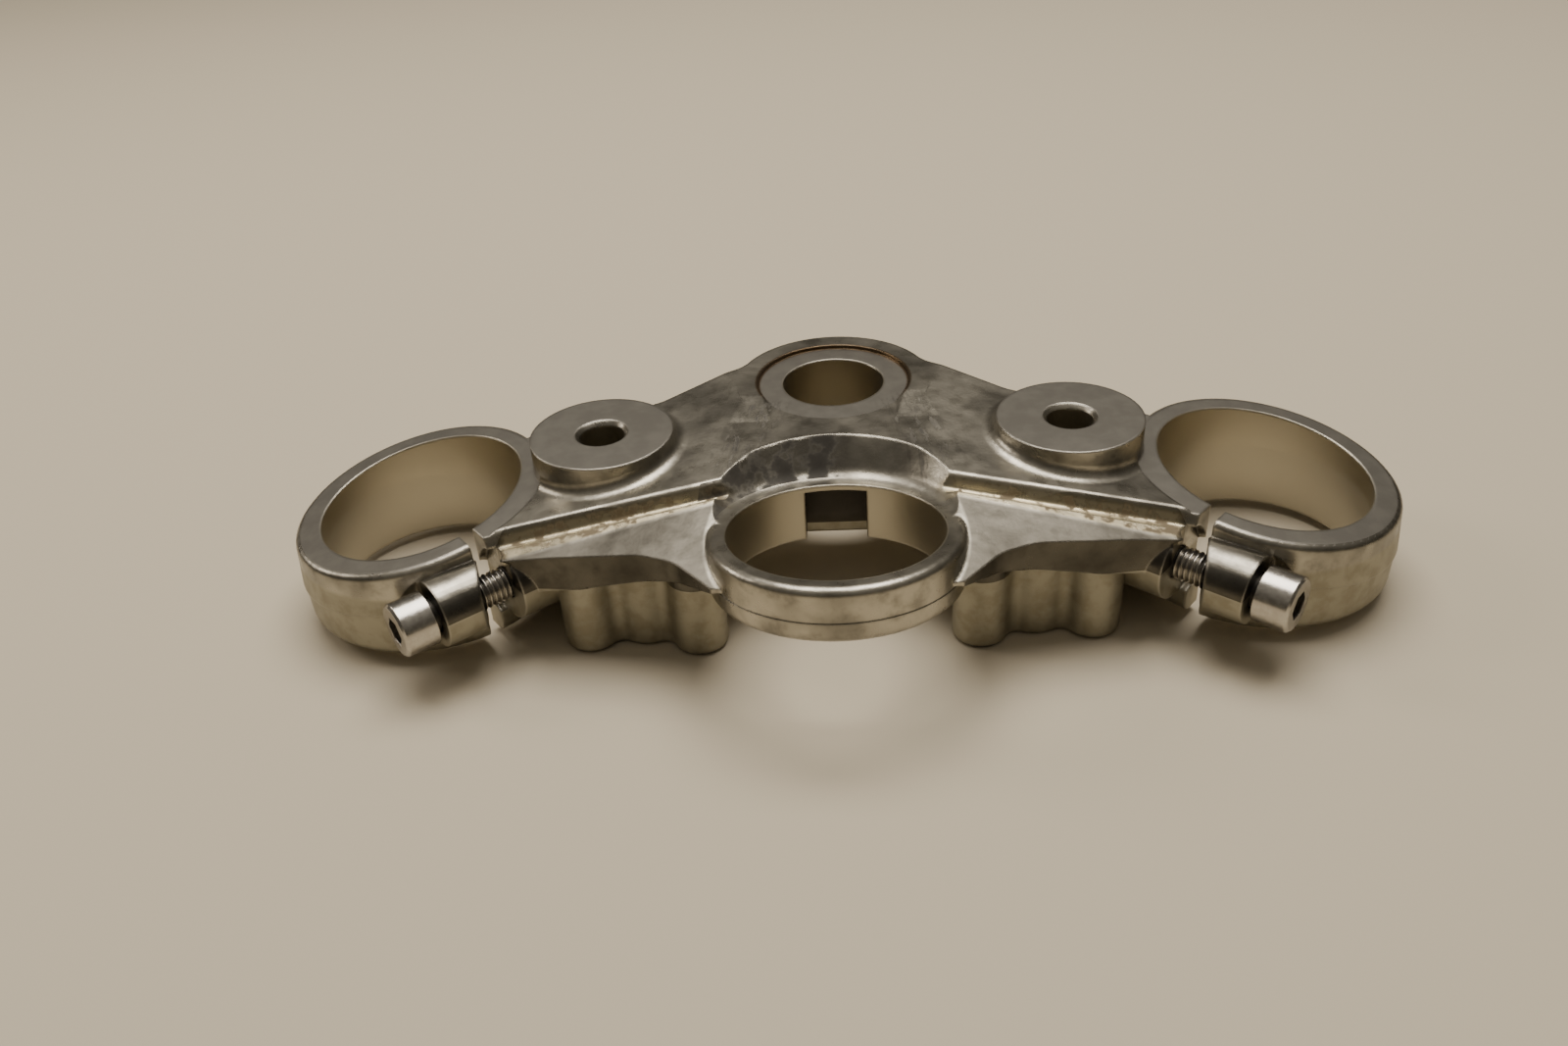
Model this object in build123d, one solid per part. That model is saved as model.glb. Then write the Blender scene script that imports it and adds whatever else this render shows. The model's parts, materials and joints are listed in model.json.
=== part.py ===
from build123d import *
import math
import os

# Upper fork yoke of a motorcycle: one aluminium casting and its two pinch screws.
# Origin on the steering stem axis at the machined seat of the stem nut.
# +X to the right along the fork axes, +Y to the rear (rider), +Z up along the stem.

# ---------------------------------------------------------------- fork clamps
fork_spacing = 204.0        # between the two fork tube axes
fork_offset = 32.5          # fork axes lie this far in front of the stem axis
fork_bore_d = 50.0          # fork tube diameter held by each ring
fork_wall = 5.9             # ring wall at its top
fork_top_z = -10.0          # ring top face, on the fork axis
fork_height = 25.6          # ring height on the fork axis
fork_slope_x = 0.145        # ring top falls outward by this much per mm
fork_slope_y = 0.07         # ring top rises rearward by this much per mm
fork_edge_r = 1.6           # cast rounding of the ring's outer top edge
parting_drop = 10.2         # die parting line below the ring top
parting_step = 0.2          # least step left at the parting line
ring_draft = 5.0            # draft of the upper half, degrees
lower_draft = 0.6           # the lower half narrows by this much over its height
ring_foot_r = 3.0           # rounding of the ring's lower outer edge

# ---------------------------------------------------------------- steering stem
stem_bore_d = 26.0
stem_seat_d = 39.2          # machined seat for the stem nut
hub_d = 50.0
hub_lip = 1.0               # cast lip standing above the seat at the rear
hub_bottom_z = -26.0
bridge_w = 48.0             # block joining the hub to the lock ring
bridge_back_y = 6.0
bridge_top_z = -3.0
bridge_bottom_z = -20.8
bridge_lap = 1.3            # front of the block beyond the wall of the lock bore
web_w = 24.0                # narrower block under it
web_front_y = -30.5
web_top_z = -6.0

# ---------------------------------------------------------------- handlebar bosses
boss_spacing = 113.0
boss_y = -26.3
boss_d = 35.0
boss_top_z = 2.0
boss_hole_d = 11.0
boss_chamfer = 1.0
boss_base_r = 3.0           # cast fillet at the foot of each boss

# ---------------------------------------------------------------- ignition lock ring
lock_y = -62.7
lock_top_z = -4.0           # ring top face, on the lock axis
lock_bore_d = 48.8
lock_wall = 4.4
lock_upper = 8.2            # outer wall above the parting line
lock_lower = 5.2            # and below it
lock_tilt = 8.4             # axis leans rearward by this many degrees
lock_edge_r = 1.8
lock_foot_r = 2.4
ring_inset = 0.4            # casting round the ring stops this far inside its outer wall
lock_slot_w = 14.6          # keyway in the rear wall for the lock's lug
lock_slot_depth = 6.0
lock_slot_lip = 1.4         # lip left above the keyway
lock_ramp = 58.0            # slope of the ramp up to the hub, degrees

# ---------------------------------------------------------------- arms
arm_slope_x = 0.11          # cast top face falls outward
arm_slope_y = 0.05          # and rises rearward
arm_ref_x = 74.0            # the face is at arm_ref_z here, level with the fork axes
arm_ref_z = -5.9
arm_thick = 13.0
plateau_half = 15.5         # half width of the flat in front of the stem seat
plateau_back_y = -8.0       # it starts here, and the shoulders beside it fall to it
shoulder_fall = 0.083
ridge_inner_y = -43.8       # ridge along the arm, near the hub
ridge_outer_y = -54.5       # and at the split
channel_depth = 3.5
crest_r = 1.6               # rounding of the ridge behind the channel
web_r = 5.0                 # cast fillet where the arm's front wall meets the lock ring
skirt_tip_z = -10.2         # underside of the arm at the lock ring
skirt_root_z = -15.5        # and beside the leg
front_drop = 4.0            # front edge below the arm's top face

# ---------------------------------------------------------------- legs
leg_bottom_z = -38.0
leg_lobe_r = 6.6
leg_foot_r = 1.5
leg_valley_r = 3.0
leg_tap_d = 6.8             # tapping size of an M8 thread
leg_tap_depth = 16.0

# ---------------------------------------------------------------- pinch screws
split_angle = 50.6          # split lies this far round from the line of the forks
split_gap = 3.5
screw_d = 8.0               # M8 cap screw
screw_pitch = 1.25
screw_length = 30.0
head_d = 13.0
head_h = 8.0
socket_af = 6.0
socket_depth = 4.2
thread_length = 22.0
thread_depth = 0.61
pinch_radius = 34.0         # screw axis from the fork axis
pinch_z = -20.2
lug_r = 8.0
lug_length = 14.7           # spot face from the middle of the split
screw_backed_off = 1.4      # head stands this far off its spot face
lug_hole_d = 8.7
lug_face_d = 17.2
tap_boss_d = 18.2
tap_face_d = 18.8
tap_face_depth = 3.7        # thread entry from the middle of the split
tap_runout = 2.7            # tapped depth past the tip of the tightened screw
tap_wall = 4.0              # metal past the blind end of the hole
thread_clearance = 0.06     # radial, screw crest to tapped wall

# ---------------------------------------------------------------- derived
half_spacing = fork_spacing / 2
fork_r = fork_bore_d / 2
ring_r = fork_r + fork_wall
hub_r = hub_d / 2
boss_x = boss_spacing / 2
boss_r = boss_d / 2
lock_r = lock_bore_d / 2
lock_outer_r = lock_r + lock_wall
screw_r = screw_d / 2 - 0.03
tap_r = screw_r + thread_clearance
tap_hole_end = screw_length - lug_length + tap_runout
tap_boss_end = tap_hole_end + tap_wall
big = 200.0
leg_columns = ((33.0, -57.6), (59.2, -55.4))
toe = (lock_outer_r - 1.8, lock_y - 14.3)       # the arm's front wall meets the lock ring here
throat = (lock_outer_r + 7.2, lock_y - 5.1)     # and turns outward here
wall_bend = (44.0, -64.2)                       # then runs along the arm from here


def level(x, y, slope_x, slope_y, ref_x, ref_z):
    """Height of a sloping face of one arm, x measured outward from the centre line."""
    return ref_z + slope_x * (ref_x - x) + slope_y * (y + fork_offset)


def arm_level(x, y):
    return level(x, y, arm_slope_x, arm_slope_y, arm_ref_x, arm_ref_z)


def above(plane, size=big):
    return plane * Box(size, size, size, align=(Align.CENTER, Align.CENTER, Align.MIN))


def below(plane, size=big):
    return plane * Box(size, size, size, align=(Align.CENTER, Align.CENTER, Align.MAX))


def upright(x, y, r, low, high):
    return Pos(x, y, low) * Cylinder(r, high - low, align=(Align.CENTER, Align.CENTER, Align.MIN))


def upright_cone(x, y, r_low, r_high, low, high):
    cone = Cone(r_low, r_high, high - low, align=(Align.CENTER, Align.CENTER, Align.MIN))
    return Pos(x, y, low) * cone


class Side:
    """Datums of one side of the yoke: side is 1 on the right and -1 on the left."""

    def __init__(self, side):
        self.side = side
        self.ring_face = self.sloping(fork_slope_x, fork_slope_y, half_spacing, fork_top_z)
        self.arm_face = self.sloping(arm_slope_x, arm_slope_y, arm_ref_x, arm_ref_z)
        turn = math.radians(split_angle)
        self.split_dir = Vector(-math.cos(turn) * side, -math.sin(turn), 0)
        self.out_dir = Vector(math.sin(turn) * side, -math.cos(turn), 0)
        axis = Vector(half_spacing * side, -fork_offset, 0)
        point = axis + self.split_dir * pinch_radius + Vector(0, 0, pinch_z)
        self.pinch = Plane(origin=point, x_dir=self.split_dir, z_dir=self.out_dir)
        inner = self.on_arm(21, ridge_inner_y)
        outer = self.on_arm(80.4, ridge_outer_y)
        inward = inner - outer
        along = inward * side
        across = Vector(0, 0, 1).cross(along)
        self.ridge = Plane(origin=outer, x_dir=across, z_dir=along)

    def at(self, x, y):
        return (x * self.side, y)

    def sloping(self, slope_x, slope_y, ref_x, ref_z):
        """Plane of a face that falls outward and rises rearward."""
        normal = (slope_x * self.side, -slope_y, 1)
        return Plane(origin=(ref_x * self.side, -fork_offset, ref_z), z_dir=normal)

    def on_arm(self, x, y, drop=0.0):
        return Vector(x * self.side, y, arm_level(x, y) - drop)

    def along_screw(self, r, start, end):
        """Cylinder on the pinch screw's axis; stations count outward from the split."""
        solid = Cylinder(r, end - start, align=(Align.CENTER, Align.CENTER, Align.MIN))
        return self.pinch * (Pos(0, 0, start) * solid)


def fork_ring(s):
    """Clamp ring: drafted upper half over a straighter lower half, stepped at the parting."""
    x = half_spacing * s.side
    bottom = fork_top_z - fork_height
    grow = math.tan(math.radians(ring_draft))
    high = 20.0
    low_r = ring_r + (fork_top_z - bottom) * grow
    high_r = ring_r - (high - fork_top_z) * grow
    upper = upright_cone(x, -fork_offset, low_r, high_r, bottom, high)
    upper -= above(s.ring_face)
    upper = fillet(upper.edges().sort_by(Axis.Z)[-1], fork_edge_r)
    parting = s.ring_face.offset(-parting_drop)
    upper -= below(parting)
    lowest = parting_drop + fork_slope_x * ring_r
    waist_r = ring_r + lowest * grow + parting_step
    lower = upright_cone(x, -fork_offset, waist_r - lower_draft, waist_r, bottom, high)
    lower = fillet(lower.edges().sort_by(Axis.Z)[0], ring_foot_r)
    lower -= above(parting)
    return upper + lower


def arm_outline(s):
    """Plan of one arm from the centre line into the fork ring's wall."""
    spots = [
        (0, 12),
        (20, 14),
        (24.5, 8),
        (47, -7.2),
        (57, -5.0),
        (73.5, -11.5),
        (82, -16),
        (84, -36),
        (88, -52),
        (79.4, -60.2),
        (65, -61.4),
        wall_bend,
        throat,
        toe,
        (0, -62),
    ]
    corners = [s.at(x, y) for x, y in spots]
    flat = make_face(Polyline(*corners, close=True))
    rounded = [(24.5, 8, 9.0), (47, -7.2, 12.0), (57, -5.0, 12.0), (*wall_bend, 16.0), (*throat, 12.0)]
    for x, y, radius in rounded:
        near = flat.vertices().sort_by_distance((x * s.side, y, 0))[0]
        flat = fillet(near, radius)
    flat += Pos(0, lock_y, 0) * Circle(lock_outer_r - ring_inset)
    return offset(offset(flat, web_r), -web_r)


def channel_cut(s):
    """Channel running inward from the split in front of the ridge."""
    points = [(0, 0), (1.5, -channel_depth + 0.2), (3.4, -channel_depth), (9.4, 3.2), (9.4, 12), (-0.6, 12)]
    section = make_face(Polyline(*points, close=True))
    floor = [section.vertices().sort_by_distance((x, y, 0))[0] for x, y in points[1:3]]
    section = fillet(floor, 0.9)
    return s.ridge * extrude(section, 90, both=True)


def panel_cut(s):
    """Everything above the panel that slopes from the second ridge to the arm's front edge."""
    inner = s.on_arm(28, -50.6, 1.4)
    front = s.on_arm(43, wall_bend[1], front_drop)
    outer = s.on_arm(72, -59.6, front_drop - 0.3)
    normal = (front - inner).cross(outer - inner)
    if normal.Z < 0:
        normal = normal * -1
    top = above(Plane(origin=inner, z_dir=normal))
    reach = Box(60, 80, 260, align=(Align.MIN, Align.CENTER, Align.CENTER))
    return top & (s.ridge * (Pos(3.4, 0, 0) * reach))


def skirt_cut(s):
    """The arm's front wall thins away where it runs into the lock ring."""
    tip = Vector(*s.at(*toe), skirt_tip_z)
    root = Vector(*s.at(*wall_bend), skirt_root_z)
    along = root - tip
    across = Vector(-along.Y, along.X, 0)
    normal = along.cross(across)
    return below(Plane(origin=tip, z_dir=normal * (1 if normal.Z > 0 else -1)))


def boss_post(s):
    return upright(boss_x * s.side, boss_y, boss_r, arm_level(boss_x, boss_y) - 3, boss_top_z)


def arm(s):
    """Cast arm with the flare of its boss, filleted and then cut to its plan."""
    stock = below(s.arm_face) + boss_post(s)
    foot = stock.edges().filter_by(GeomType.ELLIPSE).sort_by(Axis.Z)[-1]
    stock = fillet(foot, boss_base_r)
    stock -= channel_cut(s)
    stock -= panel_cut(s)
    stock -= below(s.arm_face.offset(-arm_thick))
    middle = s.ridge.from_local_coords(Vector(0, 0, 30 * s.side))
    stock = fillet(stock.edges().sort_by_distance(middle)[0], crest_r)
    stock -= skirt_cut(s)
    return stock & (Pos(0, 0, -60) * extrude(arm_outline(s), 100))


def leg(s):
    """Lobed leg: two screw columns in front, the handlebar bolt's column behind."""
    spots = [(27.6, -55), (30, -36), (44, -22), (69, -22), (65.8, -55), (59, -57), (33, -57)]
    flat = make_face(Polyline(*[s.at(x, y) for x, y in spots], close=True))
    for x, y in leg_columns:
        flat += Pos(x * s.side, y, 0) * Circle(leg_lobe_r)
    flat += Pos(45.8 * s.side, -50.6, 0) * Circle(9.0)
    flat += Pos(boss_x * s.side, boss_y, 0) * Circle(13.5)
    flat = offset(offset(flat, leg_valley_r), -leg_valley_r)
    block = Pos(0, 0, leg_bottom_z) * extrude(flat, -leg_bottom_z)
    block = fillet(block.edges().filter_by_position(Axis.Z, leg_bottom_z - 0.1, leg_bottom_z + 0.1), leg_foot_r)
    block -= above(s.arm_face.offset(-arm_thick + 4))
    return block


def lug(s):
    """Pinch lug on the ring's free end, its corner cut back beside the split."""
    body = s.along_screw(lug_r, 0, lug_length)
    corner = Plane(
        origin=s.pinch.from_local_coords(Vector(-1.5, 0, split_gap / 2)),
        z_dir=s.out_dir * -math.cos(math.radians(24)) + s.split_dir * math.sin(math.radians(24)),
    )
    body -= above(corner, 60)
    return body


def side_cuts(s):
    """Machining of one side."""
    x = half_spacing * s.side
    bx = boss_x * s.side
    cuts = [upright(x, -fork_offset, fork_r, -80, 60)]
    slit = Box(60, 80, split_gap, align=(Align.MIN, Align.CENTER, Align.CENTER))
    cuts.append(s.pinch * (Pos(fork_r - pinch_radius - 6, 0, 0) * slit))
    cuts.append(s.along_screw(lug_face_d / 2, lug_length, lug_length + 40))
    cuts.append(s.along_screw(lug_hole_d / 2, 0, lug_length + 2))
    cuts.append(s.along_screw(tap_face_d / 2, -tap_face_depth, 0))
    cuts.append(s.along_screw(tap_r, -tap_hole_end, 0))
    cuts.append(upright(bx, boss_y, boss_hole_d / 2, -60, 20))
    mouth_r = boss_hole_d / 2
    mouth = upright_cone(
        bx, boss_y, mouth_r, mouth_r + 2 * boss_chamfer, boss_top_z - boss_chamfer, boss_top_z + boss_chamfer
    )
    cuts.append(mouth)
    for lx, ly in leg_columns:
        cuts.append(upright(lx * s.side, ly, leg_tap_d / 2, leg_bottom_z - 1, leg_bottom_z + leg_tap_depth))
    return cuts


def half_yoke(s):
    x = half_spacing * s.side
    body = arm(s) + fork_ring(s)
    body += s.along_screw(tap_boss_d / 2, -tap_boss_end, 0)
    body += leg(s)
    body += lug(s)
    body -= above(s.ring_face) & upright(x, -fork_offset, ring_r + 0.6, -40, 40)
    body += boss_post(s)
    for cut in side_cuts(s):
        body -= cut
    return body


def lock_frame():
    tilt = math.radians(lock_tilt)
    axis = (0, math.sin(tilt), math.cos(tilt))
    return Plane(origin=(0, lock_y, lock_top_z), x_dir=(1, 0, 0), z_dir=axis)


def lock_ring():
    frame = lock_frame()
    upper = upright(0, lock_y, lock_outer_r, -60, 20)
    upper -= above(frame)
    upper = fillet(upper.edges().sort_by(Axis.Z)[-1], lock_edge_r)
    upper -= below(frame.offset(-lock_upper))
    lower = upright(0, lock_y, lock_outer_r + parting_step, -60, 20)
    lower -= below(frame.offset(-lock_upper - lock_lower))
    lower = fillet(lower.edges().sort_by(Axis.Z)[0], lock_foot_r)
    lower -= above(frame.offset(-lock_upper))
    return upper + lower


def ramp_cut():
    """Everything above the lock ring and in front of the ramp up to the hub."""
    rise = 30.0
    foot = lock_outer_r - ring_inset
    run = rise / math.tan(math.radians(lock_ramp))
    with BuildSketch(Plane.XZ) as section:
        with BuildLine():
            Polyline((0, 0), (foot, 0), (foot + run, rise), (0, rise), (0, 0))
        make_face()
        corner = section.vertices().sort_by_distance((foot, 0, 0))[0]
        fillet(corner, 5.0)
    return lock_frame() * revolve(section.sketch, Axis.Z)


def centre():
    """Hub round the steering stem and the block joining it to the lock ring."""
    hub = upright(0, 0, hub_r, hub_bottom_z, hub_lip + 6)
    standing = (Align.CENTER, Align.MAX, Align.MIN)
    depth = bridge_back_y - (lock_y + lock_r + bridge_lap)
    bridge = Box(bridge_w, depth, bridge_top_z - bridge_bottom_z, align=standing)
    web = Box(web_w, -web_front_y, web_top_z - hub_bottom_z, align=standing)
    return hub + Pos(0, bridge_back_y, bridge_bottom_z) * bridge + Pos(0, 0, hub_bottom_z) * web


def yoke():
    body = half_yoke(right) + half_yoke(left)
    body += centre()
    # cast top of the hub
    cap_width = 2 * (boss_x - boss_r - boss_base_r) - 2
    cap = Pos(0, 0, hub_lip) * Box(cap_width, 120, 40, align=(Align.CENTER, Align.CENTER, Align.MIN))
    body -= cap
    with BuildSketch(Plane.XZ) as section:
        with BuildLine():
            half = plateau_half
            Polyline((-half, 0), (half, 0), (half + 8, 3), (-half - 8, 3), (-half, 0))
        make_face()
    body -= Pos(0, plateau_back_y, 0) * extrude(section.sketch, 40)
    shoulder = above(Plane(origin=(0, plateau_back_y, hub_lip), z_dir=(0, -shoulder_fall, 1)))
    body -= shoulder & Box(cap_width, 120, 40, align=(Align.CENTER, Align.CENTER, Align.MIN))
    body -= ramp_cut()
    body += lock_ring()
    # stem
    body -= upright(0, 0, stem_seat_d / 2, 0, 20)
    body -= upright(0, 0, stem_bore_d / 2, -60, 20)
    # lock bore and its keyway
    body -= lock_frame() * Cylinder(lock_r, 120)
    slot = Pos(0, 0, -lock_slot_lip) * Box(
        lock_slot_w, lock_r + lock_slot_depth, 60, align=(Align.CENTER, Align.MIN, Align.MAX)
    )
    body -= lock_frame() * slot
    return body


def screw(s):
    """Socket-head cap screw on the pinch axis, head outward."""
    seat = lug_length + screw_backed_off
    tip = seat - screw_length
    core = screw_r - thread_depth
    shank = Pos(0, 0, seat - (screw_length - thread_length)) * Cylinder(
        screw_r, screw_length - thread_length, align=(Align.CENTER, Align.CENTER, Align.MIN)
    )
    turns = int(thread_length / screw_pitch)
    points = [(0, tip), (core - 0.3, tip), (core, tip + 0.3)]
    start = tip + 0.3
    for turn in range(turns - 1):
        low = start + turn * screw_pitch
        points.append((screw_r, low + 0.5 * screw_pitch - 0.08))
        points.append((screw_r, low + 0.5 * screw_pitch + 0.08))
        points.append((core, low + screw_pitch))
    end = seat - (screw_length - thread_length)
    points.append((core, end))
    points.append((0, end))
    points.append((0, tip))
    with BuildSketch(Plane.XZ) as section:
        with BuildLine():
            Polyline(*points)
        make_face()
    threads = revolve(section.sketch, Axis.Z)
    head = Pos(0, 0, seat) * Cylinder(head_d / 2, head_h, align=(Align.CENTER, Align.CENTER, Align.MIN))
    head = chamfer(head.edges().sort_by(Axis.Z)[-1], 0.6)
    head = fillet(head.edges().sort_by(Axis.Z)[0], 0.25)
    socket = Pos(0, 0, seat + head_h - socket_depth) * extrude(
        RegularPolygon(socket_af / 2, 6, major_radius=False), socket_depth + 1
    )
    body = threads + shank + head - socket
    return s.pinch * body


os.makedirs("parts", exist_ok=True)
right = Side(1)
left = Side(-1)
export_step(yoke(), "parts/yoke_casting.step")
export_step(screw(right), "parts/pinch_screw_right.step")
export_step(screw(left), "parts/pinch_screw_left.step")
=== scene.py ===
import json
import math
import bpy
from mathutils import Matrix, Vector


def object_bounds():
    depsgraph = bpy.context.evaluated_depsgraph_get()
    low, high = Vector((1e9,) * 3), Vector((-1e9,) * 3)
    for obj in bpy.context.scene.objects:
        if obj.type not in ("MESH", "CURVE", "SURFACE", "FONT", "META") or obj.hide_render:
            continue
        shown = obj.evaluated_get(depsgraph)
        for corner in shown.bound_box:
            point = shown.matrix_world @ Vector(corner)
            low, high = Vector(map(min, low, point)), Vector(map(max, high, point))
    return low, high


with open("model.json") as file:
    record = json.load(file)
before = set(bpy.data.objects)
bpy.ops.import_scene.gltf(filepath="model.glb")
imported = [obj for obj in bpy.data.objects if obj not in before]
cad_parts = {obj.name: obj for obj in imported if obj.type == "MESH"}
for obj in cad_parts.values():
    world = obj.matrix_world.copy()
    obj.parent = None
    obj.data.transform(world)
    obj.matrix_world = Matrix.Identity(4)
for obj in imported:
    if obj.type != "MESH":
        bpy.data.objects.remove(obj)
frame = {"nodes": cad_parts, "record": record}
cad_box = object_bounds()
nodes = frame["nodes"]

MM = 0.001

# places on the casting, in metres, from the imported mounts
mounts = {mount["name"]: mount for mount in frame["record"]["mounts"]}
fork_axis = Vector(mounts["fork_clamp_right"]["pos_m"])
fork_r = mounts["fork_clamp_right"]["dims"]["r_mm"] * MM
boss_axis = Vector(mounts["handlebar_bolt_right"]["pos_m"])
boss_hole_r = mounts["handlebar_bolt_right"]["dims"]["r_mm"] * MM
boss_top = mounts["handlebar_seat_right"]["pos_m"][2]
stem_axis = Vector(mounts["stem_bore"]["pos_m"])
stem_r = mounts["stem_bore"]["dims"]["r_mm"] * MM
seat_r = abs(mounts["stem_nut_seat"]["pos_m"][1]) + 3.6 * MM
lock_point = Vector(mounts["lock_bore"]["pos_m"])
lock_axis = Vector(mounts["lock_bore"]["axis"])
lock_r = mounts["lock_bore"]["dims"]["r_mm"] * MM
lock_length = mounts["lock_bore"]["dims"]["length_mm"] * MM
lock_lip_top = lock_length / 2 - 0.8 * MM               # lip over the keyway, from the bore's middle
lock_face = 9.2 * MM                                    # the ring's top face, from the bore's middle
parting_z = fork_axis.z + 1.6 * MM                      # die parting line of the rings and legs
ridge_outer = fork_axis + Vector((-21.6, -22.0, 0)) * MM  # ridge behind each channel, at the split
ridge_inner = Vector((21.0, -43.8, 0)) * MM             # and near the hub
smear_start = Vector((16.0, -9.0, 0)) * MM              # oily streaks run from the stem seat's corner
smear_end = Vector((26.0, -42.0, 0)) * MM               # to the inner end of the channel
floor_z = cad_box[0][2]
object_middle = (0, -0.03, -0.01)

# settings that many nodes share
SMOOTH = {"interpolation_type": "SMOOTHSTEP"}
COLOUR = {"data_type": "RGBA"}


# ---------------------------------------------------------------- node helpers
def linear(hex_colour):
    """sRGB hex to linear RGBA."""
    parts = [int(hex_colour[i:i + 2], 16) / 255 for i in (1, 3, 5)]
    parts = [c / 12.92 if c <= 0.04045 else ((c + 0.055) / 1.055) ** 2.4 for c in parts]
    return (*parts, 1.0)


def add(tree, kind, inputs=(), **settings):
    """A node with its settings and links.

    Inputs go by name, or in a row to the node's first live sockets. Each is a value, a socket,
    or a node, which stands for its first live output.
    """
    made = tree.nodes.new("ShaderNode" + kind)
    for name, value in settings.items():
        setattr(made, name, value)
    if isinstance(inputs, dict):
        pairs = [(made.inputs[name], value) for name, value in inputs.items()]
    else:
        pairs = zip([socket for socket in made.inputs if socket.enabled], inputs)
    for socket, value in pairs:
        if isinstance(value, bpy.types.Node):
            value = next(output for output in value.outputs if output.enabled)
        if isinstance(value, bpy.types.NodeSocket):
            tree.links.new(value, socket)
        else:
            socket.default_value = value
    return made


def new_material(name):
    made = bpy.data.materials.new(name)
    made.use_nodes = True
    made.node_tree.nodes.clear()
    return made, made.node_tree


def chain(tree, operation, *values):
    """All the values put through one operation: MULTIPLY is where masks overlap, MAXIMUM is their union."""
    joined = values[0]
    for value in values[1:]:
        joined = add(tree, "Math", (joined, value), operation=operation)
    return joined


def noise_inputs(place, size, detail, roughness=0.55):
    """Inputs of a noise whose features are about size metres across."""
    return {"Vector": place, "Scale": 1 / size, "Detail": detail, "Roughness": roughness}


def patches(tree, place, size, low, high, detail=3.0, roughness=0.55):
    """1 in blotches about size metres across and 0 between them."""
    noise = add(tree, "TexNoise", noise_inputs(place, size, detail, roughness))
    return add(tree, "MapRange", (noise, low, high), **SMOOTH)


def near(tree, value, centre, inner, outer):
    """1 where the value is within inner of the centre, fading to 0 at outer."""
    off = add(tree, "Math", (value, centre), operation="SUBTRACT")
    off = add(tree, "Math", (off,), operation="ABSOLUTE")
    return add(tree, "MapRange", (off, outer, inner), **SMOOTH)


def coated(tree, colour, coats):
    """The colour under coats of others, each with its mask and the share that it covers there."""
    for mask, cover, hex_colour in coats:
        share = add(tree, "Math", (mask, cover), operation="MULTIPLY")
        colour = add(tree, "Mix", (share, colour, linear(hex_colour)), **COLOUR)
    return colour


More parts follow.
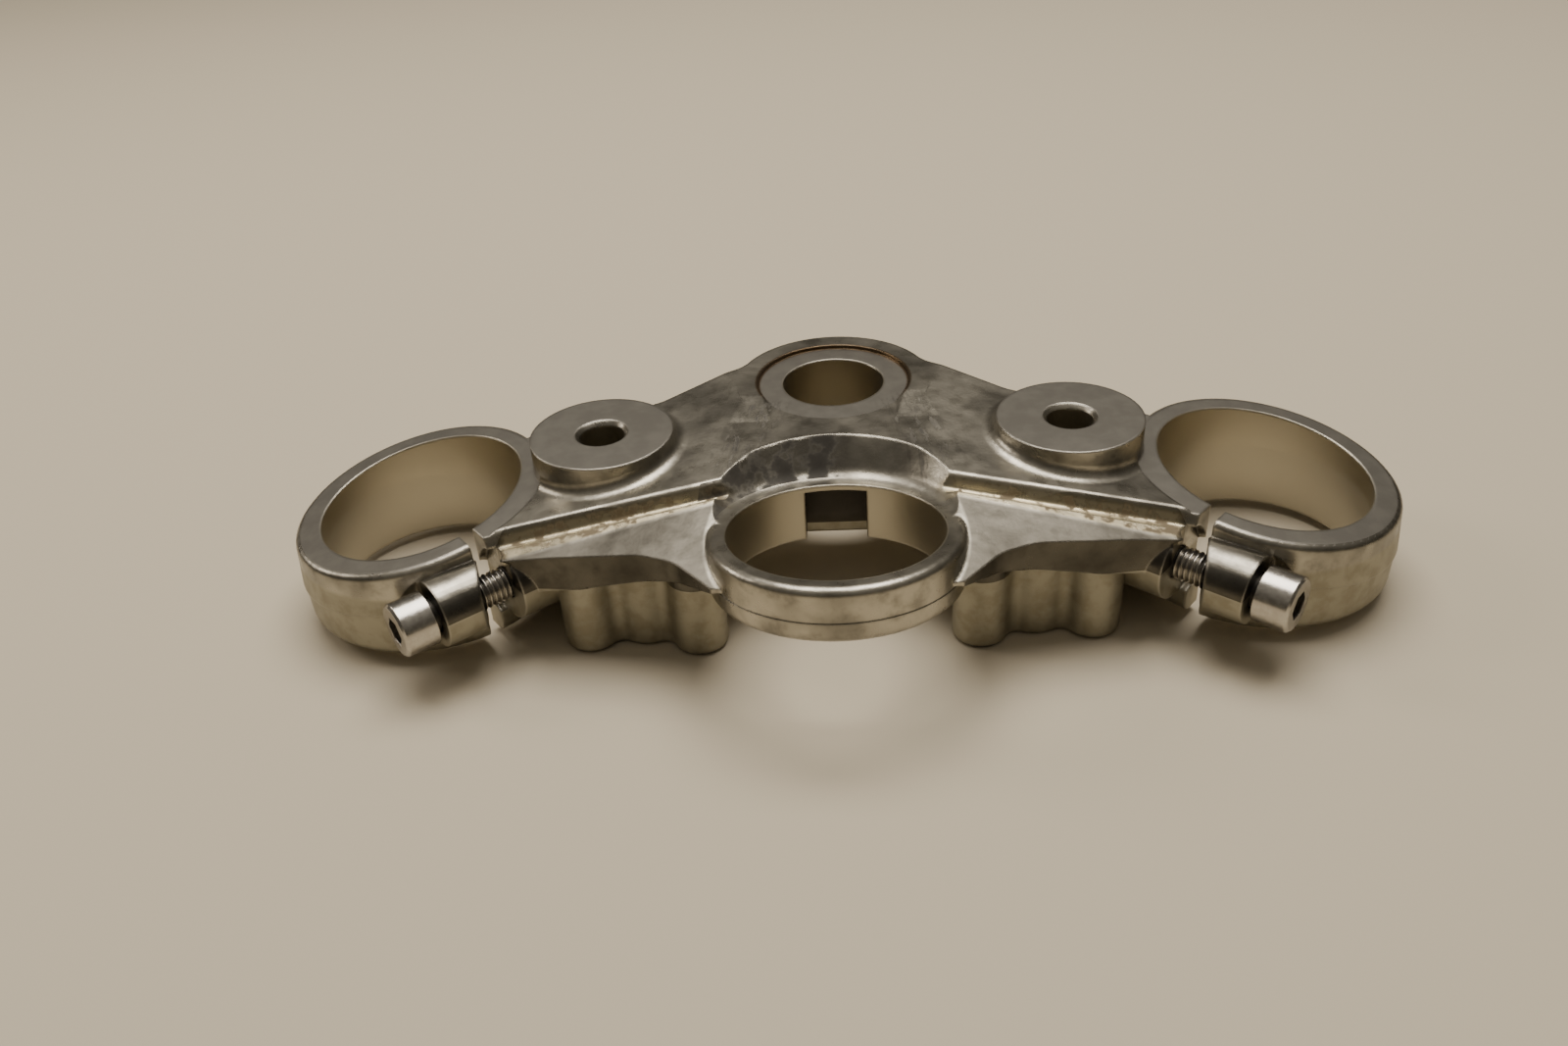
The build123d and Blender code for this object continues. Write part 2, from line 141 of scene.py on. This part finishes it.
# ---------------------------------------------------------------- places on the casting
def casting_places(tree):
    """Distances, and masks of the machined faces, that the casting's finish goes by."""
    place = add(tree, "TexCoord").outputs["Object"]
    axes = add(tree, "SeparateXYZ", (place,)).outputs
    facing = add(tree, "SeparateXYZ", (add(tree, "NewGeometry").outputs["True Normal"],)).outputs
    y, z, up = axes["Y"], axes["Z"], facing["Z"]
    side_x = add(tree, "Math", (axes["X"],), operation="ABSOLUTE")

    plan = add(tree, "CombineXYZ", (side_x, y))
    from_fork, from_boss, from_stem = [
        add(tree, "VectorMath", (plan, (spot.x, spot.y, 0)), operation="DISTANCE")
        for spot in (fork_axis, boss_axis, stem_axis)
    ]
    ahead = add(tree, "VectorMath", (place, lock_point), operation="SUBTRACT")
    along = add(tree, "VectorMath", (ahead, lock_axis), operation="DOT_PRODUCT")
    length = add(tree, "VectorMath", (ahead,), operation="LENGTH")
    length_squared = add(tree, "Math", (length, 2), operation="POWER")
    along_squared = add(tree, "Math", (along, 2), operation="POWER")
    from_lock = add(tree, "Math", (length_squared, along_squared), operation="SUBTRACT")
    from_lock = add(tree, "Math", (from_lock, 0), operation="MAXIMUM")
    from_lock = add(tree, "Math", (from_lock,), operation="SQRT")

    wall = 0.25 * MM    # a bore's finish reaches this far into its wall
    limits = {
        "level": (up, "GREATER_THAN", 0.96),
        "fork_bore": (from_fork, "LESS_THAN", fork_r + wall),
        "lock_bore": (from_lock, "LESS_THAN", lock_r + wall),
        "stem_bore": (from_stem, "LESS_THAN", stem_r + wall),
        "boss_hole": (from_boss, "LESS_THAN", boss_hole_r + wall),
        "below_boss_chamfer": (z, "LESS_THAN", boss_top - 1.2 * MM),
        "fork_ring": (from_fork, "LESS_THAN", fork_r + 6.6 * MM),
        "boss_plan": (from_boss, "LESS_THAN", 20 * MM),
        "boss_face": (z, "GREATER_THAN", boss_top - 0.05 * MM),
        "seat_plan": (from_stem, "LESS_THAN", seat_r),
        "below_hub_lip": (z, "LESS_THAN", 0.4 * MM),
        "behind_lock": (y, "GREATER_THAN", lock_point.y),
        "keyway_width": (side_x, "LESS_THAN", 7.4 * MM),
        "past_lock_bore": (from_lock, "GREATER_THAN", lock_r + 0.3 * MM),
        "within_keyway": (from_lock, "LESS_THAN", lock_r + 7 * MM),
        "below_keyway_lip": (along, "LESS_THAN", lock_lip_top),
        "above_lock_face": (along, "GREATER_THAN", lock_face),
        "within_ramp": (from_lock, "LESS_THAN", lock_r + 11 * MM),
        "steep": (up, "LESS_THAN", 0.93),
        "off_lock_ring": (from_lock, "GREATER_THAN", lock_r + 5.6 * MM),
        "off_fork_ring": (from_fork, "GREATER_THAN", fork_r + 8 * MM),
        "arm_front": (y, "LESS_THAN", fork_axis.y - 17 * MM),
        "above_parting": (z, "GREATER_THAN", parting_z),
    }
    at = {
        name: add(tree, "Math", (value, limit), operation=test)
        for name, (value, test, limit) in limits.items()
    }
    faces_front = add(tree, "MapRange", (facing["Y"], -0.2, -0.6), **SMOOTH)
    fork_face = chain(tree, "MULTIPLY", at["level"], at["fork_ring"])
    boss_face = chain(tree, "MULTIPLY", at["boss_face"], at["boss_plan"])
    stem_seat = chain(tree, "MULTIPLY", at["level"], at["seat_plan"], at["below_hub_lip"])
    boss_hole = chain(tree, "MULTIPLY", at["boss_hole"], at["below_boss_chamfer"])
    return {
        "place": place, "x": axes["X"], "y": y, "z": z, "up": up, "side_x": side_x,
        "from_stem": from_stem, "from_lock": from_lock,
        "nearest": chain(tree, "MINIMUM", from_fork, from_boss, from_stem),
        "turned": chain(tree, "MAXIMUM", fork_face, boss_face, stem_seat),
        "bored": chain(tree, "MAXIMUM", at["fork_bore"], at["lock_bore"], at["stem_bore"], boss_hole),
        "keyway": chain(
            tree, "MULTIPLY", at["past_lock_bore"], at["within_keyway"], at["keyway_width"],
            at["behind_lock"], at["below_keyway_lip"],
        ),
        "lock_ramp": chain(
            tree, "MULTIPLY", at["above_lock_face"], at["within_ramp"], at["behind_lock"], at["steep"],
        ),
        "arm_wall_oxide_and_shade": chain(
            tree, "MULTIPLY", at["off_lock_ring"], at["off_fork_ring"], at["arm_front"],
            at["above_parting"], faces_front,
        ),
    }


def line_stations(tree, spots, start, end):
    """Distances along a line on plan, the same on both sides, and square to it towards the front."""
    run = (end - start).xy.normalized()
    away_x = add(tree, "Math", (spots["side_x"], start.x), operation="SUBTRACT")
    away_y = add(tree, "Math", (spots["y"], start.y), operation="SUBTRACT")
    along = add(tree, "Math", (away_y, run.y), operation="MULTIPLY")
    along = add(tree, "Math", (away_x, run.x, along), operation="MULTIPLY_ADD")
    across = add(tree, "Math", (away_y, run.x), operation="MULTIPLY")
    across = add(tree, "Math", (away_x, -run.y, across), operation="MULTIPLY_ADD")
    return along, across


def channel_masks(tree, spots):
    """Floors of the two channels in front of the ridges, and the panels in front of those, which get painted
    shade.
    """
    front = line_stations(tree, spots, ridge_outer, ridge_inner)[1]
    inside_split = add(tree, "MapRange", (spots["side_x"], 79 * MM, 76 * MM), **SMOOTH)
    off_lock = (spots["from_lock"], lock_r + 4.4 * MM, lock_r + 5.4 * MM)
    gutter = chain(
        tree,
        "MULTIPLY",
        near(tree, front, 3.2 * MM, 2.4 * MM, 3.4 * MM),
        add(tree, "MapRange", (spots["side_x"], 22 * MM, 28 * MM), **SMOOTH),
        inside_split,
        add(tree, "MapRange", (spots["z"], parting_z, parting_z + 2 * MM), **SMOOTH),
    )
    panel_shade = chain(
        tree,
        "MULTIPLY",
        add(tree, "MapRange", (front, 6 * MM, 7.5 * MM), **SMOOTH),
        add(tree, "MapRange", (spots["up"], 0.5, 0.8), **SMOOTH),
        inside_split,
        add(tree, "MapRange", off_lock, **SMOOTH),
    )
    return gutter, panel_shade


def smear_mask(tree, spots):
    """Oily streaks over the shoulders beside the stem seat, and a cloud on the left of the ramp."""
    along, across = line_stations(tree, spots, smear_start, smear_end)
    drawn_out = add(tree, "Math", (along, 0.3), operation="MULTIPLY")
    spread = add(tree, "CombineXYZ", (drawn_out, across, spots["x"]))
    streaks = chain(
        tree,
        "MULTIPLY",
        near(tree, across, 0, 2 * MM, 8 * MM),
        add(tree, "MapRange", (along, -3 * MM, 6 * MM), **SMOOTH),
        add(tree, "MapRange", (along, 37 * MM, 30 * MM), **SMOOTH),
        patches(tree, spread, 2.4 * MM, 0.47, 0.62, detail=6, roughness=0.62),
    )
    cloud = chain(
        tree,
        "MULTIPLY",
        add(tree, "MapRange", (spots["x"], 5 * MM, -1 * MM), **SMOOTH),
        spots["lock_ramp"],
        patches(tree, spots["place"], 5 * MM, 0.3, 0.55, detail=4),
    )
    on_top = add(tree, "MapRange", (spots["up"], 0.2, 0.45), **SMOOTH)
    return chain(tree, "MULTIPLY", chain(tree, "MAXIMUM", streaks, cloud), on_top)


def casting_relief(tree, spots, soft_normal):
    """Sand grain and dents on the skin, turning marks round each seat's axis, boring marks up the bores.

    Turning marks are 0.45 mm apart and boring marks 0.7 mm, coarser than real so that they show.
    """
    place = spots["place"]
    grain = add(tree, "TexNoise", noise_inputs(place, 0.9 * MM, 2.0))
    dents = add(tree, "TexNoise", noise_inputs(place, 7 * MM, 1.0))
    height = add(tree, "Math", (dents, 0.22 * MM), operation="MULTIPLY")
    height = add(tree, "Math", (grain, 0.03 * MM, height), operation="MULTIPLY_ADD")
    marks = [
        (spots["turned"], spots["nearest"], 0.45 * MM, 0.0025 * MM),
        (spots["bored"], spots["z"], 0.7 * MM, 0.0035 * MM),
    ]
    for mask, distance, spacing, depth in marks:
        wave = add(tree, "Math", (distance, 2 * math.pi / spacing), operation="MULTIPLY")
        wave = add(tree, "Math", (wave,), operation="SINE")
        wave = add(tree, "Math", (wave, depth), operation="MULTIPLY")
        height = add(tree, "Mix", (mask, height, wave))
    return add(tree, "Bump", {"Height": height, "Strength": 1.0, "Distance": 1.0, "Normal": soft_normal})


# ---------------------------------------------------------------- cast aluminium
def cast_aluminium():
    """Sand-textured cast aluminium, tumbled satin, with turned seats, bored holes and years of grime.

    Rounded edges are painted brighter, partly as bright metal and partly as painted highlight; grey oxide
    lies on the flats; the corners are painted darker, partly as oily dirt and partly as painted shade.
    """
    material, tree = new_material("cast_aluminium")
    spots = casting_places(tree)
    place = spots["place"]
    gutter, panel_shade = channel_masks(tree, spots)
    smear = smear_mask(tree, spots)

    # cast skin: grey oxide in blotches; the arms' front walls are painted darkest, partly as dark oxide and
    # partly as a painted reflection of the shaded floor in front
    oxide = add(tree, "TexNoise", noise_inputs(place, 5 * MM, 5.0))
    broad = patches(tree, place, 22 * MM, 0.38, 0.62)
    skin = add(tree, "Mix", (broad, linear("#8c887e"), linear("#bcb7aa")), **COLOUR)
    skin = coated(tree, skin, [(add(tree, "MapRange", (oxide, 0.45, 0.75), **SMOOTH), 0.5, "#56524b")])
    # below the die's parting line the upright faces are painted pale and chalky: partly unlinished skin,
    # partly a painted reflection of the pale floor
    below_parting = add(tree, "MapRange", (spots["z"], parting_z + 0.8 * MM, parting_z - 0.8 * MM), **SMOOTH)
    upright = add(tree, "MapRange", (spots["up"], 0.6, 0.3), **SMOOTH)
    low = chain(tree, "MULTIPLY", below_parting, upright)
    chalky = add(tree, "MapRange", (oxide, 0.4, 0.65), **SMOOTH)
    chalk_and_reflection_colour = add(tree, "Mix", (chalky, linear("#aaa594"), linear("#999381")), **COLOUR)
    skin = add(tree, "Mix", (low, skin, chalk_and_reflection_colour), **COLOUR)
    # painted shade: the arms' front walls are darkened, partly dark oxide and partly a painted reflection of
    # the shaded floor
    skin = coated(tree, skin, [(spots["arm_wall_oxide_and_shade"], 0.8, "#35322c")])
    # machined faces
    dulled = add(tree, "MapRange", (oxide, 0.35, 0.7), **SMOOTH)
    turned = add(tree, "Mix", (dulled, linear("#9b978f"), linear("#a7a39a")), **COLOUR)
    colour = add(tree, "Mix", (spots["turned"], skin, turned), **COLOUR)

    # rounded edges that nothing shelters are painted bright: partly rubbed metal, partly a painted highlight
    soft = add(tree, "Bevel", {"Radius": 0.9 * MM}, samples=6)
    hard = add(tree, "NewGeometry").outputs["Normal"]
    same = add(tree, "VectorMath", (soft, hard), operation="DOT_PRODUCT")
    edge = add(tree, "MapRange", (same, 0.995, 0.88), **SMOOTH)
    corner = add(tree, "AmbientOcclusion", {"Distance": 5 * MM}, samples=8).outputs["AO"]
    edge_wear_and_highlight = chain(tree, "MULTIPLY", edge, add(tree, "MapRange", (corner, 0.6, 0.9), **SMOOTH))

    # painted shade and dirt: the corners that the AO finds are painted dark, more so in blotches
    shut = add(tree, "MapRange", (corner, 0.65, 0.3), **SMOOTH)
    blotch_depth = patches(tree, place, 9 * MM, 0.42, 0.62, detail=4)
    blotch_depth = add(tree, "Math", (blotch_depth, 0.75, 0.15), operation="MULTIPLY_ADD")
    corner_shade_and_grime = chain(tree, "MULTIPLY", shut, blotch_depth)
    stain = chain(tree, "MULTIPLY", gutter, patches(tree, place, 3.2 * MM, 0.46, 0.6, detail=6))
    panel_shade_depth = add(tree, "MapRange", (oxide, 0.3, 0.7, 0.8, 0.55), **SMOOTH)
    behind_front_notch = add(tree, "MapRange", (spots["y"], -11 * MM, -7 * MM), **SMOOTH)
    round_seat = near(tree, spots["from_stem"], seat_r, 0.3 * MM, 0.9 * MM)
    lip = chain(tree, "MULTIPLY", round_seat, behind_front_notch)
    coats = [
        (spots["bored"], 1.0, "#bdb6a4"),                       # clean bores
        (edge_wear_and_highlight, 0.55, "#cfcabd"),                           # rubbed edges and painted highlight
        (corner_shade_and_grime, 0.85, "#2b261f"),                               # dirt and painted shade in the corners
        (chain(tree, "MULTIPLY", panel_shade, panel_shade_depth), 1.0, "#3b3832"),  # panels in front of the channels, painted dark as painted shade
        (gutter, 0.8, "#c9bea0"),                               # chalky channel floors
        (stain, 0.75, "#5c4a2e"),                               # and the brown deposit on them
        (smear, 0.85, "#26221d"),                               # old polish and oil
        (lip, 0.8, "#5f4520"),                                  # brown ring in the seat's corner
        (spots["keyway"], 0.85, "#2a2218"),                     # keyway walls painted near black
    ]
    colour = coated(tree, colour, coats)

    # metal shows less, and shines less, where dirt and the painted corner shade cover it
    dirt_and_shade = chain(tree, "MAXIMUM", corner_shade_and_grime, stain, smear, spots["keyway"])
    chalk_and_reflection_cover = add(tree, "Math", (chain(tree, "MAXIMUM", low, gutter), 0.45), operation="MULTIPLY")
    covered = chain(tree, "MAXIMUM", dirt_and_shade, chalk_and_reflection_cover)
    metallic = add(tree, "MapRange", (covered, 0.2, 1.0, 1.0, 0.25), **SMOOTH)
    rough = add(tree, "MapRange", (oxide, 0.3, 0.7, 0.26, 0.36), **SMOOTH)
    for mask, roughness in ((low, 0.46), (panel_shade, 0.42), (spots["turned"], 0.36), (spots["bored"], 0.34)):
        rough = add(tree, "Mix", (mask, rough, roughness))
    shade_and_dirt_roughness = add(tree, "MapRange", (dirt_and_shade, 0.2, 1.0, 0.0, 0.7), **SMOOTH)
    rough = chain(tree, "MAXIMUM", rough, shade_and_dirt_roughness)

    bump = casting_relief(tree, spots, soft)
    shader = add(
        tree,
        "BsdfPrincipled",
        {"Base Color": colour, "Metallic": metallic, "Roughness": rough, "Normal": bump},
    )
    add(tree, "OutputMaterial", (shader,))
    return material


# ---------------------------------------------------------------- screw steel
def screw_steel():
    """Bright zinc-plated steel: a turned head and an unpolished socket; the socket and thread roots are
    painted dark, partly as oil on the threads and partly as painted shade.
    """
    material, tree = new_material("screw_steel")
    place = add(tree, "TexCoord").outputs["Object"]
    streaks = add(tree, "TexNoise", noise_inputs(place, 1.2 * MM, 4.0))
    corner = add(tree, "AmbientOcclusion", {"Distance": 2.5 * MM}, samples=8).outputs["AO"]
    # painted shade and oil: the socket and thread roots that the AO finds are painted dark
    corner_shade_and_grime = add(tree, "MapRange", (corner, 0.8, 0.35), **SMOOTH)
    plating = add(tree, "MapRange", (streaks, 0.35, 0.65), **SMOOTH)
    colour = add(tree, "Mix", (plating, linear("#bdb8b0"), linear("#c9c5bd")), **COLOUR)
    colour = coated(tree, colour, [(corner_shade_and_grime, 0.9, "#1d1915")])
    rough = add(tree, "MapRange", (streaks, 0.3, 0.7, 0.2, 0.26), **SMOOTH)
    shade_and_dirt_roughness = add(tree, "MapRange", (corner_shade_and_grime, 0.2, 1.0, 0.0, 0.55), **SMOOTH)
    rough = chain(tree, "MAXIMUM", rough, shade_and_dirt_roughness)
    soft = add(tree, "Bevel", {"Radius": 0.3 * MM}, samples=4)
    height = add(tree, "Math", (streaks, 0.003 * MM), operation="MULTIPLY")
    bump = add(tree, "Bump", {"Height": height, "Distance": 1.0, "Normal": soft})
    shader = add(
        tree,
        "BsdfPrincipled",
        {"Base Color": colour, "Metallic": 1.0, "Roughness": rough, "Normal": bump},
    )
    add(tree, "OutputMaterial", (shader,))
    return material


# ---------------------------------------------------------------- floor, lights, camera
def matt_cream_paint():
    """Matt cream paint on a plain board."""
    material, tree = new_material("matt_cream_paint")
    shader = add(tree, "BsdfPrincipled", {"Base Color": linear("#cfc4ae"), "Roughness": 0.75})
    add(tree, "OutputMaterial", (shader,))
    return material


def lay_floor():
    """Plain square floor under the legs."""
    half = 3.5
    corners = [(x, y, floor_z) for x, y in ((-half, -half), (half, -half), (half, half), (-half, half))]
    mesh = bpy.data.meshes.new("floor")
    mesh.from_pydata(corners, [], [(0, 1, 2, 3)])
    mesh.materials.append(matt_cream_paint())
    floor = bpy.data.objects.new("floor", mesh)
    bpy.context.scene.collection.objects.link(floor)


def softbox(name, place, width, depth, watts, hex_colour):
    """Rectangular soft light aimed at the object."""
    data = bpy.data.lights.new(name, "AREA")
    data.shape = "RECTANGLE"
    data.size = width
    data.size_y = depth
    data.energy = watts
    data.color = linear(hex_colour)[:3]
    lamp = bpy.data.objects.new(name, data)
    lamp.location = place
    lamp.rotation_euler = (Vector(object_middle) - Vector(place)).to_track_quat("-Z", "Y").to_euler()
    bpy.context.scene.collection.objects.link(lamp)


def light_scene():
    """A large soft light overhead, in a room that is dim at eye level and paler above."""
    world = bpy.data.worlds.new("studio")
    world.use_nodes = True
    tree = world.node_tree
    tree.nodes.clear()
    sky = add(tree, "TexCoord").outputs["Generated"]
    height = add(tree, "SeparateXYZ", (sky,)).outputs["Z"]
    above_eye = add(tree, "MapRange", (height, 0.2, 1.0), **SMOOTH)
    tone = add(tree, "Mix", (above_eye, linear("#6c665b"), linear("#b9b2a6")), **COLOUR)
    back = add(tree, "Background", {"Color": tone, "Strength": 0.55})
    add(tree, "OutputWorld", (back,))
    bpy.context.scene.world = world
    softbox("overhead", (0.02, 0.3, 1.25), 1.1, 0.8, 19.0, "#fff8ee")
    softbox("left_fill", (-1.1, 0.3, 0.7), 0.4, 0.4, 3.0, "#fff4e6")


def place_camera():
    """Looks down on the front of the yoke from a hand's height, slightly right of its middle."""
    data = bpy.data.cameras.new("camera")
    data.lens = 29.05
    data.sensor_width = 36.0
    data.clip_start = 0.01
    camera = bpy.data.objects.new("camera", data)
    turn = Vector((2.1536044, -0.0045209, -0.0759807))  # axis of the camera's turn, as long as its angle
    right, down, ahead = Matrix.Rotation(turn.length, 3, turn.normalized())
    spot = Vector((0.003447, -0.294076, 0.150478))
    camera.matrix_world = Matrix((
        (right.x, -down.x, -ahead.x, spot.x),
        (right.y, -down.y, -ahead.y, spot.y),
        (right.z, -down.z, -ahead.z, spot.z),
        (0, 0, 0, 1),
    ))
    bpy.context.scene.collection.objects.link(camera)
    bpy.context.scene.camera = camera


def clothe(names, material):
    """Gives the CAD pieces their finish."""
    for name in names:
        slots = nodes[name].material_slots
        for slot in slots:
            slot.material = material
        if not slots:
            nodes[name].data.materials.append(material)


clothe(["yoke_casting"], cast_aluminium())
clothe(["pinch_screw_left", "pinch_screw_right"], screw_steel())
lay_floor()
light_scene()
place_camera()
